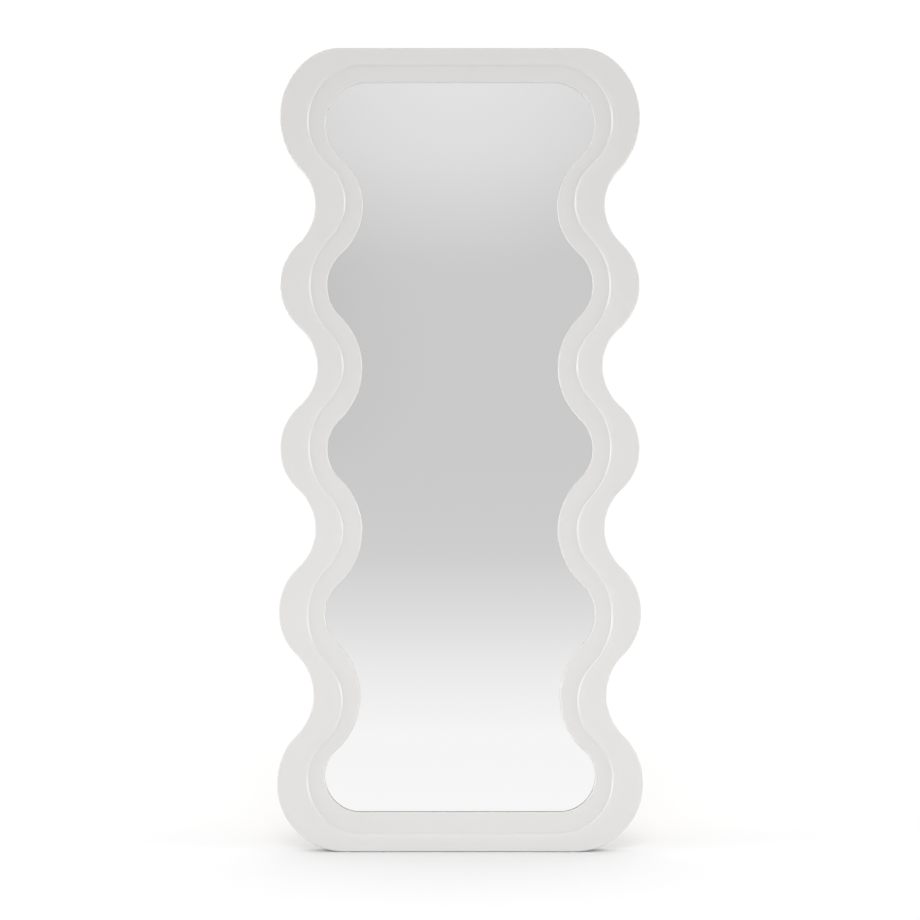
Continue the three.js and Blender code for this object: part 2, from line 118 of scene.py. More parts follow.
# each corner of a drawn line becomes an arc that touches both its sides: centre on the bisector
# at radius / sin(half the corner), the arc swept from one touching point to the other
def roundCorners(corners, radii, closed=True, steps=6):
    corners = np.array(corners, float)
    share = np.linspace(0, 1, steps + 1)[:, None]
    line = []
    for i, (corner, radius) in enumerate(zip(corners, radii)):
        if radius == 0 or (not closed and i in (0, len(corners) - 1)):
            line.append(corner[None])
            continue
        before, after = corners[i - 1] - corner, corners[(i + 1) % len(corners)] - corner
        before, after = before / np.linalg.norm(before), after / np.linalg.norm(after)
        half = math.acos(np.clip(before @ after, -1, 1)) / 2
        middle = (before + after) / np.linalg.norm(before + after) * radius / math.sin(half)
        start, end = (side * radius / math.tan(half) - middle for side in (before, after))
        sweep = math.pi - 2 * half
        arc = (np.sin((1 - share) * sweep) * start + np.sin(share * sweep) * end)
        line.append(corner + middle + arc / math.sin(sweep))
    return np.concatenate(line)


# a plate: its outline is drawn in by edge (1 - sin t) while it rises by edge (1 - cos t), which
# rounds both rims, and a flat face closes each end; axes says which of x, y, z the outline's two
# directions and the thickness are
def slab(outline, low, high, edge, axes, rimSteps=4):
    ahead = np.roll(outline, -1, 0) - np.roll(outline, 1, 0)
    ahead /= np.linalg.norm(ahead, axis=1, keepdims=True)
    u, v = outline[:, 0], outline[:, 1]
    turn = np.sign(np.sum(u * np.roll(v, -1) - v * np.roll(u, -1)))
    normal = np.stack([ahead[:, 1], -ahead[:, 0]], -1) * turn
    t = np.linspace(0, math.pi / 2, rimSteps + 1)
    inset, rise = edge * (1 - np.sin(t)), edge * (1 - np.cos(t))
    insets = np.concatenate([inset, inset[::-1]])
    along = np.concatenate([low + rise, high - rise[::-1]])
    flat = outline[None] - normal[None] * insets[:, None, None]
    depth = np.broadcast_to(along[:, None], flat.shape[:2])
    values = dict(zip(axes, (flat[..., 0], flat[..., 1], depth)))
    rows, columns = flat.shape[:2]
    ends = [list(range(columns))[::-1], list(range((rows - 1) * columns, rows * columns))]
    return np.stack([values[axis] for axis in "xyz"], -1), gridFaces(rows, columns) + ends


# a surface of revolution: profile point (radius, along) goes round its axis as radius cos a,
# radius sin a
def lathe(profile, axis, around=48, loop=False):
    radius, along = np.array(profile, float).T
    angle = np.linspace(0, 2 * math.pi, around, endpoint=False)
    across, up = radius[:, None] * np.cos(angle), radius[:, None] * np.sin(angle)
    level = np.broadcast_to(along[:, None], across.shape)
    order = {"x": (level, across, up), "y": (across, level, up), "z": (across, up, level)}[axis]
    return np.stack(order, -1), gridFaces(len(radius), around, loopRows=loop)


# a round section carried along a path in x and z: at turn t it reaches radius cos t along the
# path's outward direction and radius sin t along y
def roundSection(x, z, direction, radius, around, loop):
    turn = (np.arange(around) + 0.5) / around * 2 * math.pi
    radius = np.broadcast_to(radius, x.shape)[:, None]
    out = radius * np.cos(turn)
    points = [x[:, None] + out * np.cos(direction)[:, None], radius * np.sin(turn),
              z[:, None] + out * np.sin(direction)[:, None]]
    return np.stack(points, -1), gridFaces(len(x), around, loopRows=loop)


# a node of the kind; each setting is an attribute, or else a socket with _ for its spaces, and
# each link is (socket, source)
def addNode(tree, kind, links=(), **settings):
    node = tree.nodes.new(kind)
    for key, value in settings.items():
        if hasattr(node, key):
            setattr(node, key, value)
        else:
            node.inputs[key.replace("_", " ")].default_value = value
    for socket, source in links:
        tree.links.new(source, node.inputs[socket])
    return node


# a Principled material; other sockets are named with _ for their spaces
def newMaterial(name, color, roughness, **sockets):
    material = bpy.data.materials.new(name)
    material.use_nodes = True
    shader = material.node_tree.nodes["Principled BSDF"]
    shader.inputs["Base Color"].default_value = (*color, 1)
    shader.inputs["Roughness"].default_value = roughness
    for key, value in sockets.items():
        shader.inputs[key.replace("_", " ")].default_value = value
    return material, material.node_tree, shader


# noise on Object coordinates, stretched by the scale's three shares
def grain(tree, scale, detail=3.0, stretch=(1, 1, 1), rough=0.5):
    place = addNode(tree, "ShaderNodeTexCoord")
    mapping = addNode(tree, "ShaderNodeMapping", [("Vector", place.outputs["Object"])],
                      Scale=stretch)
    return addNode(tree, "ShaderNodeTexNoise", [("Vector", mapping.outputs["Vector"])],
                   Scale=scale, Detail=detail, Roughness=rough).outputs["Fac"]


# colour between dark and light, as the source goes from low to high
def shade(tree, shader, source, dark, light, low=0.35, high=0.65):
    ramp = addNode(tree, "ShaderNodeValToRGB", [("Fac", source)])
    ends = ramp.color_ramp.elements
    ends[0].position, ends[1].position = low, high
    ends[0].color, ends[1].color = (*dark, 1), (*light, 1)
    tree.links.new(ramp.outputs["Color"], shader.inputs["Base Color"])


# roughness between smooth and rough, as the source goes from low to high
def roughen(tree, shader, source, smooth, rough, low=0.3, high=0.7):
    spread = addNode(tree, "ShaderNodeMapRange", [("Value", source)], From_Min=low, From_Max=high,
                     To_Min=smooth, To_Max=rough)
    tree.links.new(spread.outputs["Result"], shader.inputs["Roughness"])


# relief of the source, its distance in metres
def emboss(tree, shader, source, strength, distance):
    bump = addNode(tree, "ShaderNodeBump", [("Height", source)], Strength=strength,
                   Distance=distance)
    tree.links.new(bump.outputs["Normal"], shader.inputs["Normal"])


# the colour times a share
def tinted(color, share):
    return tuple(channel * share for channel in color)


# in each finish below, plain is the roughness without its pattern, a grain is its scale, detail,
# stretch and roughness, and a relief is the bump's strength and distance

# satin lacquer over fibreboard, with a faint orange peel and a slow drift in tone
lacquer = dict(color=(0.612, 0.602, 0.591), drift=0.008, tones=(2.2, 2), plain=0.45,
               sheen=(9.0, 3), roughness=(0.42, 0.5), peel=(700.0, 2), relief=(0.25, 0.00002),
               specular=0.4, coat=0.3, coatRoughness=0.2)


def lacquerMaterial(values):
    material, tree, shader = newMaterial("satinLacquer", values["color"], values["plain"],
                                         Specular_IOR_Level=values["specular"],
                                         Coat_Weight=values["coat"],
                                         Coat_Roughness=values["coatRoughness"])
    shade(tree, shader, grain(tree, *values["tones"]),
          tinted(values["color"], 1 - values["drift"]),
          tinted(values["color"], 1 + values["drift"]))
    roughen(tree, shader, grain(tree, *values["sheen"]), *values["roughness"])
    emboss(tree, shader, grain(tree, *values["peel"]), *values["relief"])
    return material


# silvered float glass, with hardly any drift in tone
silver = dict(color=(0.93, 0.93, 0.93), plain=0.0, tones=(1.3, 1), drift=0.002)


def silverMaterial(values):
    material, tree, shader = newMaterial("silveredGlass", values["color"], values["plain"],
                                         Metallic=1.0)
    shade(tree, shader, grain(tree, *values["tones"]),
          tinted(values["color"], 1 - values["drift"]), values["color"])
    return material


# smooth face of hardboard: dark brown with short pressed fibres and a share of faint clouds
hardboard = dict(dark=(0.150, 0.090, 0.050), light=(0.265, 0.172, 0.104), plain=0.6,
                 roughness=(0.5, 0.68), fibres=(260.0, 5, (1.0, 1.0, 0.32), 0.62),
                 clouds=(6.0, 3), cloudShare=0.22, ramp=(0.46, 0.76), relief=(0.35, 0.00008))


def hardboardMaterial(values):
    material, tree, shader = newMaterial("pressedFibres", values["light"], values["plain"])
    fibres, clouds = grain(tree, *values["fibres"]), grain(tree, *values["clouds"])
    both = addNode(tree, "ShaderNodeMath", [(0, clouds), (2, fibres)], operation="MULTIPLY_ADD")
    both.inputs[1].default_value = values["cloudShare"]
    shade(tree, shader, both.outputs[0], values["dark"], values["light"], *values["ramp"])
    roughen(tree, shader, fibres, *values["roughness"])
    emboss(tree, shader, fibres, *values["relief"])
    return material


# planed softwood, its grain along the batten
pine = dict(dark=(0.46, 0.29, 0.145), light=(0.66, 0.47, 0.275), plain=0.6,
            rings=(60.0, 4, (0.04, 1.0, 1.0), 0.55), ramp=(0.4, 0.6), relief=(0.3, 0.0002))


def pineMaterial(values):
    material, tree, shader = newMaterial("planedSoftwood", values["light"], values["plain"])
    rings = grain(tree, *values["rings"])
    shade(tree, shader, rings, values["dark"], values["light"], *values["ramp"])
    emboss(tree, shader, rings, *values["relief"])
    return material


# foam sheet: small closed cells, with painted shade that darkens their middles, where the relief
# sinks them
foam = dict(color=(0.84, 0.84, 0.82), plain=0.85, cells=420.0, middle=0.9, ramp=(0.1, 0.6),
            relief=(0.4, 0.0003))


def foamMaterial(values):
    material, tree, shader = newMaterial("foamSheet", values["color"], values["plain"])
    place = addNode(tree, "ShaderNodeTexCoord")
    cells = addNode(tree, "ShaderNodeTexVoronoi", [("Vector", place.outputs["Object"])],
                    Scale=values["cells"]).outputs["Distance"]
    # painted shade in the hollow middles of the cells
    shade(tree, shader, cells, tinted(values["color"], values["middle"]), values["color"],
          *values["ramp"])
    emboss(tree, shader, cells, *values["relief"])
    return material


# bright zinc plate: faint crystals in tone, with a finer sheen and a relief finer still
zinc = dict(dark=(0.55, 0.56, 0.58), light=(0.74, 0.75, 0.76), plain=0.3, roughness=(0.24, 0.42),
            sheenFiner=2.5, reliefFiner=6.0, relief=(0.12, 0.00003))


def zincMaterial(values, name, crystal):
    material, tree, shader = newMaterial(name, values["light"], values["plain"], Metallic=1.0)
    crystals = grain(tree, crystal, detail=4)
    sheen = grain(tree, crystal * values["sheenFiner"], detail=3)
    bumps = grain(tree, crystal * values["reliefFiner"], detail=2)
    shade(tree, shader, crystals, values["dark"], values["light"])
    roughen(tree, shader, sheen, *values["roughness"])
    emboss(tree, shader, bumps, *values["relief"])
    return material


# powder coat on the tube: fine pebbled texture, a little duller than the lacquer
powderCoat = dict(color=(0.66, 0.648, 0.622), drift=0.015, tones=(14.0, 3), plain=0.48,
                  roughness=(0.42, 0.55), pebbles=(1500.0, 2), relief=(0.4, 0.00004))


def powderCoatMaterial(values):
    material, tree, shader = newMaterial("powderCoat", values["color"], values["plain"])
    shade(tree, shader, grain(tree, *values["tones"]),
          tinted(values["color"], 1 - values["drift"]),
          tinted(values["color"], 1 + values["drift"]))
    pebbles = grain(tree, *values["pebbles"])
    roughen(tree, shader, pebbles, *values["roughness"])
    emboss(tree, shader, pebbles, *values["relief"])
    return material


# moulded nylon, a little translucent
nylon = dict(color=(0.74, 0.725, 0.68), drift=0.04, tones=(55.0, 2), plain=0.45,
             sheen=(240.0, 3), roughness=(0.38, 0.52), skin=(1200.0, 2), relief=(0.15, 0.00003),
             translucence=0.15, reach=0.002)


def nylonMaterial(values):
    material, tree, shader = newMaterial("naturalNylon", values["color"], values["plain"],
                                         Subsurface_Weight=values["translucence"],
                                         Subsurface_Scale=values["reach"])
    shade(tree, shader, grain(tree, *values["tones"]),
          tinted(values["color"], 1 - values["drift"]), values["color"])
    roughen(tree, shader, grain(tree, *values["sheen"]), *values["roughness"])
    emboss(tree, shader, grain(tree, *values["skin"]), *values["relief"])
    return material


# matt rubber with a fine speckle
rubber = dict(dark=(0.012, 0.012, 0.012), light=(0.035, 0.034, 0.033), tones=(90.0, 4),
              plain=0.75, speckle=(1800.0, 3), roughness=(0.62, 0.85), relief=(0.45, 0.00006))


def rubberMaterial(values):
    material, tree, shader = newMaterial("mattRubber", values["light"], values["plain"])
    shade(tree, shader, grain(tree, *values["tones"]), values["dark"], values["light"])
    speckle = grain(tree, *values["speckle"])
    roughen(tree, shader, speckle, *values["roughness"])
    emboss(tree, shader, speckle, *values["relief"])
    return material


satinLacquer = lacquerMaterial(lacquer)
silveredGlass = silverMaterial(silver)
pressedFibres = hardboardMaterial(hardboard)
planedSoftwood = pineMaterial(pine)
foamSheet = foamMaterial(foam)
zincPlate = zincMaterial(zinc, "zincPlate", crystal=110.0)
zincScrews = zincMaterial(zinc, "zincScrews", crystal=260.0)
tubeCoat = powderCoatMaterial(powderCoat)
naturalNylon = nylonMaterial(nylon)
mattRubber = rubberMaterial(rubber)
print("materials ready")

# what lies out of sight behind the glass keeps its solid
keptNodes = dict(mirror_glass=silveredGlass, packing_sheet=foamSheet, upper_batten=planedSoftwood,
                 middle_batten=planedSoftwood, lower_batten=planedSoftwood)
for nodeName, material in keptNodes.items():
    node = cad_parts[nodeName]
    node.data.materials.clear()
    node.data.materials.append(material)

# the three wavy lines of the frame, in millimetres up the mirror and out from its middle, each
# crest and hollow a height and a half width; the frame comes down round its pads by the sole
sole = 1.2
outerEdge = dict(bottom=-sole, top=1800, firstRadius=148, topRadius=170,
                 heights=(150, 343, 528, 713, 893, 1076, 1261, 1441, 1643),
                 halves=(405.5, 325.3, 403.1, 322.4, 401.7, 319.7, 403.4, 326.1, 406.2))
stepLine = dict(bottom=39, top=1758, firstRadius=107,
                heights=(158, 329, 519, 707, 894, 1077.5, 1260, 1448.5, 1634),
                halves=(336.2, 259.7, 336.7, 260.2, 335.2, 260.2, 335.2, 257.2, 341.2))
sightLine = dict(bottom=86, top=1721, firstRadius=75,
                 heights=(165, 340, 522.5, 709, 891.5, 1073.5, 1260, 1438.5, 1627),
                 halves=(299.5, 221.5, 299.5, 217.5, 296, 218.5, 297.5, 218, 303))


# a chain of arcs that touch: two neighbours' radii add up to (rise^2 + run^2) / (2 rise), and
# they meet where sin(angle) = run / (sum of the radii); the top corner's arc of topRadius ends at
# topTurn, and a tighter one of (rise - topRadius sin) / (1 - sin) takes it level; a point of an
# arc is its centre plus radius times (cos, sin), and cos, sin is also its outward normal,
# mirrored in the hollows; columns are x, height and the normal's x and height, up the right side
# and down the left
def waveLine(line, arcSteps=22, cornerSteps=36, topTurn=math.radians(50)):
    heights, halves = np.array(line["heights"], float), np.array(line["halves"], float)
    run, rise = np.diff(heights), np.abs(np.diff(halves))
    radii = [line["firstRadius"]]
    for both in (rise ** 2 + run ** 2) / (2 * rise):
        radii.append(both - radii[-1])
    meets = np.arcsin(run / (np.array(radii[:-1]) + np.array(radii[1:])))
    last = len(radii) - 1
    topRise = line["top"] - heights[-1]
    topRadius = line.get("topRadius", topRise)
    arcs = [(0, heights[0] - line["bottom"], -math.pi / 2, 0, cornerSteps)]
    for i in range(last + 1):
        if i > 0:
            arcs.append((i, radii[i], -meets[i - 1], 0, arcSteps))
        if i < last:
            arcs.append((i, radii[i], 0, meets[i], arcSteps))
    arcs.append((last, topRadius, 0, topTurn, cornerSteps))
    arcs = [(halves[i] - (-1) ** i * radius, heights[i], (-1) ** i, radius, *turn)
            for i, radius, *turn in arcs]
    c, s = math.cos(topTurn), math.sin(topTurn)
    tight = (topRise - topRadius * s) / (1 - s)
    arcs.append((halves[last] - topRadius + (topRadius - tight) * c,
                 heights[last] + (topRadius - tight) * s, 1, tight, topTurn, math.pi / 2,
                 cornerSteps // 2))
    side = []
    for number, (x, height, sign, radius, start, stop, steps) in enumerate(arcs):
        angle = np.linspace(start, stop, steps + 1)[min(number, 1):]
        c, s = np.cos(angle), np.sin(angle)
        side.append(np.stack([x + sign * radius * c, height + radius * s, c, sign * s], -1))
    side = np.concatenate(side)
    return np.concatenate([side, side[::-1] * (-1, 1, -1, 1)])


outer, step, sight = waveLine(outerEdge), waveLine(stepLine), waveLine(sightLine)


# one row for each (line, outwards, depth): the line moved along its normals, at that depth, and
# cut at the bottom along the floor, height = depth tan(lean) - sole
def carried(section):
    rows = []
    for line, outwards, depth in section:
        x = line[:, 0] + outwards * line[:, 2]
        height = np.maximum(line[:, 1] + outwards * line[:, 3], depth * math.tan(lean) - sole)
        rows.append(np.stack([x, np.full_like(x, depth), height], -1))
    return np.stack(rows)


# quarter round of a section: outwards = centre + radius cos t, depth = centre - radius sin t
def quarter(line, centreOut, centreDepth, radius, start, stop, steps):
    t = np.radians(np.linspace(start, stop, steps + 1))
    return [(line, centreOut + radius * c, centreDepth - radius * s)
            for c, s in zip(np.cos(t), np.sin(t))]


# closes the first and the last row of a sheet with level strips from its right side to its left
def levelStrips(rows, columns):
    i = np.arange(columns // 2 - 1)
    strip = np.stack([i, i + 1, columns - 2 - i, columns - 1 - i], -1)
    return (strip[:, ::-1]).tolist() + (strip + (rows - 1) * columns).tolist()


# raised band: rounded outside edge, flat face, a roll that falls as the cube of the way across
# and a slanted wall down to the step line; a parabola eases the brow between them, from the roll
# at the brow's start over their crossing to the brow's share of the wall
band = dict(back=18.0, edge=3.0, edgeSteps=10, rollWidth=28.0, rollEnd=3.6, rollDrop=2.7,
            rollSteps=22, brow=1.5, browShare=0.35, browSteps=8, wallFoot=0.05, faceDrop=6.0)


def raisedBand(values):
    width = values["rollWidth"] - values["rollEnd"]
    t = np.linspace(0, 1 - values["brow"] / width, values["rollSteps"] + 1)
    roll = np.stack([values["rollWidth"] - width * t, values["rollDrop"] * t ** 3], -1)
    crossing = np.array([values["rollEnd"], values["rollDrop"]])
    foot = np.array([values["wallFoot"], values["faceDrop"]])
    under = crossing + (foot - crossing) * values["browShare"]
    k = np.linspace(0, 1, values["browSteps"] + 1)[1:, None]
    brow = (1 - k) ** 2 * roll[-1] + 2 * k * (1 - k) * crossing + k ** 2 * under
    edge = values["edge"]
    section = [(outer, 0, values["back"])]
    section += quarter(outer, -edge, edge, edge, 0, 90, values["edgeSteps"])
    section += [(step, out, depth) for out, depth in np.concatenate([roll, brow, foot[None]])]
    section += [(step, values["wallFoot"], values["back"])]
    points = carried(section)
    return onMirror(points), gridFaces(*points.shape[:2], loopRows=True)


# lower band: flat, with a rounded lip at the glass and the rebate for the pane behind it
lowerBand = dict(face=6.0, back=18.0, lip=4.0, lipSteps=10, lipBack=10.2, rebate=13.0)


def flatBand(values):
    face, lip = values["face"], values["lip"]
    section = [(step, 0, values["back"]), (step, 0, face)]
    section += quarter(sight, lip, face + lip, lip, 90, 180, values["lipSteps"])
    section += [(sight, 0, values["lipBack"]), (sight, values["rebate"], values["lipBack"]),
                (sight, values["rebate"], values["back"])]
    points = carried(section)
    return onMirror(points), gridFaces(*points.shape[:2], loopRows=True)


# dark bead at the foot of the lip, against the glass, standing in for the shade there as a painted
# shadow line: it shows most along the bottom, showing = side + (foot - side) times a fade over the
# height
shadowBead = dict(front=10.25, back=10.45, under=3.0, side=0.12, foot=0.95, fadeTop=165.0, fadeSpan=60.0)


def shadowBeadRing(values):
    fade = np.clip((values["fadeTop"] - sight[:, 1]) / values["fadeSpan"], 0, 1)[:, None]
    showing = values["side"] + (values["foot"] - values["side"]) * fade
    inner = sight.copy()
    inner[:, :2] -= sight[:, 2:] * showing
    section = [(inner, 0, values["front"]), (sight, values["under"], values["front"]),
               (sight, values["under"], values["back"]), (inner, 0, values["back"])]
    points = carried(section)
    return onMirror(points), gridFaces(*points.shape[:2], loopRows=True)


# core ring behind both bands, its back edges eased
core = dict(front=18.3, back=36.0, ease=1.2, easeSteps=4, opening=13.5)


def coreRing(values):
    front, back, ease, opening = (values[key] for key in ("front", "back", "ease", "opening"))
    section = [(outer, 0, front)]
    section += quarter(outer, -ease, back - ease, ease, 0, -90, values["easeSteps"])
    section += quarter(sight, opening + ease, back - ease, ease, -90, -180, values["easeSteps"])
    section += [(sight, opening, front)]
    points = carried(section)
    return onMirror(points), gridFaces(*points.shape[:2], loopRows=True)


# hardboard back, cut inside the frame's edge by the inset, both rims eased and both faces closed
# with level strips
cover = dict(front=36.3, back=39.3, inset=6.0, ease=0.5, easeSteps=3)


def coverBoard(values):
    ease, middle, steps = values["ease"], -values["inset"] - values["ease"], values["easeSteps"]
    section = quarter(outer, middle, values["front"] + ease, ease, 90, 0, steps)
    section += quarter(outer, middle, values["back"] - ease, ease, 0, -90, steps)
    points = carried(section)
    rows, columns = points.shape[:2]
    return onMirror(points), gridFaces(rows, columns) + levelStrips(rows, columns)


makePiece("raisedBand", [raisedBand(band)], "frame", satinLacquer,
          ["outer_moulding"])
makePiece("flatBand", [flatBand(lowerBand)], "frame", satinLacquer,
          ["inner_moulding"])
# dark bead as a painted shadow line under the lip, wider along the bottom
makePiece("paintedShadowBead", [shadowBeadRing(shadowBead)], "frame", mattRubber, [])
makePiece("coreRing", [coreRing(core)], "frame", satinLacquer, ["rear_frame"])
makePiece("coverBoard", [coverBoard(cover)], "frame", pressedFibres,
          ["back_cover"])
print("frame bands, core ring and cover ready")

# pan-head screws with a cross recess: the head is height sqrt(1 - (r / radius)^4), less a cross
# where the smaller of |x| and |z| is under the arm's half width, its edges eased and its floor
# rising by the taper out to the reach; the rings of the head crowd towards its rim
screwShape = dict(radius=4.0, height=2.2, shank=1.6, tip=2.0, arm=0.55, reach=2.3, depth=1.3,
                  ease=0.22, taper=0.45, rings=20, crowding=0.8, around=72, firstTurn=0.35,
                  nextTurn=1.1)


def screwAt(values, x, depth, height, length, turn):
    r = np.linspace(0, 1, values["rings"]) ** values["crowding"] * values["radius"]
    top = values["height"] * np.sqrt(np.clip(1 - (r / values["radius"]) ** 4, 0, 1))
    radius = np.concatenate([r, [values["shank"], values["shank"], 0]])
    along = np.concatenate([top, [0, values["tip"] - length, -length]])
    points, faces = lathe(np.stack([radius, along], -1), "y", values["around"])
    across, up = points[..., 0], points[..., 2]
    near, far = np.minimum(abs(across), abs(up)), np.hypot(across, up)
    inArm = np.clip((values["arm"] - near) / values["ease"] + 0.5, 0, 1)
    inReach = np.clip((values["reach"] - far) / values["ease"] + 0.5, 0, 1)
    sunk = values["depth"] * inArm * inReach * (1 - values["taper"] * far / values["reach"])
    sunk[len(r):] = 0
    points[..., 1] -= sunk
    c, s = math.cos(turn), math.sin(turn)
    turned = np.stack([across * c - up * s, points[..., 1], across * s + up * c], -1)
    return onMirror(turned + (x, depth + gap, height)), faces


# each kind's length, and what it holds on the cover, which sets how deep its head sits
screwLengths = dict(cover=15.0, bracket=18.0, hanger=17.0, cradle=18.0)
plates = dict(bracket=2.5, hanger=1.6, cradle=2.5)
seats = {kind: cover["back"] + gap + thickness for kind, thickness in plates.items()}
seats["cover"] = cover["back"]


# each screw where its node is: the box's middle gives x, and the height up the mirror follows
# from z = height cos(lean) - depth sin(lean)
def screwPlace(nodeName, kind):
    low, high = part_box(nodeName)
    middle = (np.array(low) + np.array(high)) / 2
    headDepth = seats[kind] + gap + screwShape["height"] / 2 - screwLengths[kind] / 2
    height = ((middle[2] - edgeLine[2]) / mm + headDepth * math.sin(lean)) / math.cos(lean)
    return middle[0] / mm, height


screwNodes = sorted(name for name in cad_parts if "screw" in name)
for number, nodeName in enumerate(screwNodes):
    kind = nodeName.split("_")[0]
    x, height = screwPlace(nodeName, kind)
    turn = screwShape["firstTurn"] + screwShape["nextTurn"] * number
    shell = screwAt(screwShape, x, seats[kind], height, screwLengths[kind], turn)
    makePiece("panHead_" + nodeName, [shell], "frame", zincScrews, [nodeName],
              sharpAt=55)
print("screws ready:", len(screwNodes))

# the stand's two hinge pins, on the mirror
plateToPin = 13.8
pivot = dict(height=1150.0, depth=seats["bracket"] + plateToPin, half=215.0)

# folded clevis: at each height along it the sheet's section is a channel whose walls reach up to
# the ear's outline, a circle about the pin down to straight flanks, and the bends' radius grows
# from nothing over the blend, which starts a little outside the ear's foot
clevis = dict(halfLength=42.0, thickness=plates["bracket"], half=12.0, corner=4.0,
              base=plateToPin + plates["bracket"], earRadius=11.0, shoulder=0.35, foot=26.0,
              bend=3.0, innerBend=0.4, innerMost=0.9, blend=4.0, blendAhead=1.0, ease=0.35,
              cornerSteps=8, flankFrom=3.0, flankRows=34, roundSteps=23, wallSteps=5, bendSteps=6)


def clevisSurface(values):
    flank = values["earRadius"] * math.cos(values["shoulder"])
    flankTop = values["base"] + values["earRadius"] * math.sin(values["shoulder"])
    half, thick, ease = values["half"], values["thickness"], values["ease"]
    foot, corner = values["foot"], values["corner"]
    cornerTurn = np.linspace(0, math.pi / 2, values["cornerSteps"] + 1)
    roundTurn = np.linspace(0, math.pi / 2, values["roundSteps"] + 1)[1:]
    z = np.concatenate([values["halfLength"] - corner * (1 - np.cos(cornerTurn)),
                        np.linspace(foot + values["flankFrom"], flank, values["flankRows"]),
                        flank * np.cos(roundTurn)])
    z = np.concatenate([z, -z[-2::-1]])
    reach = abs(z)
    over = np.clip(reach - (values["halfLength"] - corner), 0, corner)
    width = half - (corner - np.sqrt(corner ** 2 - over ** 2))
    crown = values["base"] + np.sqrt(np.clip(values["earRadius"] ** 2 - reach ** 2, 0, None))
    slope = flankTop * (foot - reach) / (foot - flank)
    wall = np.maximum(np.where(reach < flank, crown, slope), thick)
    grown = np.clip((foot + values["blendAhead"] - reach) / values["blend"], 0, 1)
    bend = ease + (values["bend"] - ease) * grown ** 2 * (3 - 2 * grown)
    bend = np.minimum(bend, np.maximum(wall - ease, ease))
    inner = np.clip(bend - thick, 0.0, None) + values["innerBend"] * grown
    inner = np.minimum(inner, np.clip(wall - thick - ease, 0.0, None) * values["innerMost"])

    a = np.linspace(0, math.pi / 2, values["bendSteps"] + 1)
    up = np.linspace(0, 1, values["wallSteps"])
    inside = np.minimum(width - thick, half - thick)
    # half of the section, from the middle of the plate's back out, up and back in
    columns = [(0 * z, 0 * z)]
    columns += [(width - bend * (1 - math.sin(t)), bend * (1 - math.cos(t))) for t in a]
    columns += [(width, bend + (wall - ease - bend) * k) for k in up[1:]]
    columns += [(width - ease, wall)]
    capIn = np.where(wall > thick + 2 * ease, inside + ease, inside)
    columns += [(capIn, wall)]
    columns += [(inside, thick + inner + np.clip(wall - ease - thick - inner, 0, None) * k)
                for k in up[::-1]]
    columns += [(inside - inner * (1 - math.cos(t)), thick + inner * (1 - math.sin(t)))
                for t in a]
    columns.append((0 * z, 0 * z + thick))
    right = np.stack([np.stack([x, y, z], -1) for x, y in columns], 1)
    left = right[:, -2:0:-1] * (-1, 1, 1)
    points = np.concatenate([right, left], 1)
    rows, count = points.shape[:2]
    ends = [list(range(count))[::-1], list(range((rows - 1) * count, rows * count))]
    points[..., 1] -= values["base"]
    return points, gridFaces(rows, count) + ends


# headed pin with a spring ring on its other end: a profile turned about x, with the radius of
# each of its corners in corners
pin = dict(reach=12.3, radius=3.0, headRadius=5.0, headHeight=2.0, clipRadius=4.6, clipHeight=1.8,
           corners=(0, 0.8, 0.8, 0.1, 0.1, 0.3, 1.2, 0))


def pinSurface(values, side):
    reach, radius = values["reach"], values["radius"]
    head, clip = values["headRadius"], values["clipRadius"]
    start, stop = -reach - values["clipHeight"], reach + values["headHeight"]
    profile = [(0, start), (clip, start), (clip, -reach), (radius, -reach), (radius, reach),
               (head, reach), (head, stop), (0, stop)]
    profile = roundCorners(profile, values["corners"], closed=False)
    profile[:, 1] *= side
    return lathe(profile, "x")


# the stand's pieces; a tube end stops where its plug's head bears on the open bracket's plate
tube = dict(half=pivot["half"], bend=60.0, radius=9.0, wall=1.5, ease=0.35, bendSteps=24,
            around=40)
sleeve = dict(radius=13.0, length=60.0, centre=115.0, bore=9.3, edge=2.0, edgeSteps=6, ribs=6,
              ribDepth=0.7, ribSteps=96, ribPower=1.5, around=64)
plug = dict(head=2.0, radius=8.8, stem=6.9, stemLength=10.0, corners=(0, 0.8, 0, 0.2, 0.9, 0))
openAngle = lean + standLean
stubLength = (plateToPin - gap - tube["radius"] * math.cos(openAngle)) / math.sin(openAngle)
tubeEnd = stubLength - plug["head"]
legLength = (pinLine[2] / mm - sleeve["radius"]) / math.cos(standLean)


# U-shaped tube: two straight legs, and quarter bends of middle - bend (cos, sin) into the foot
# bar, skinned down the outside and back up the bore
def tubeSurface(values):
    bend, half, ease = values["bend"], values["half"], values["ease"]
    a = np.linspace(0, math.pi / 2, values["bendSteps"] + 1)
    turn = np.concatenate([a, a + math.pi / 2])
    middle = np.repeat([-half + bend, half - bend], len(a))
    x = np.concatenate([[-half, -half], middle - bend * np.cos(turn), [half, half]])
    z = np.concatenate([[tubeEnd, tubeEnd - ease], bend - legLength - bend * np.sin(turn),
                        [tubeEnd - ease, tubeEnd]])
    direction = np.concatenate([[0, 0], turn, [math.pi, math.pi]])
    outside = np.full(len(x), values["radius"])
    outside[[0, -1]] -= ease
    inside = np.full(len(x), values["radius"] - values["wall"])
    inside[[0, -1]] += ease
    return roundSection(np.append(x, x[::-1]), np.append(z, z[::-1]),
                        np.append(direction, direction[::-1]), np.append(outside, inside[::-1]),
                        values["around"], loop=True)


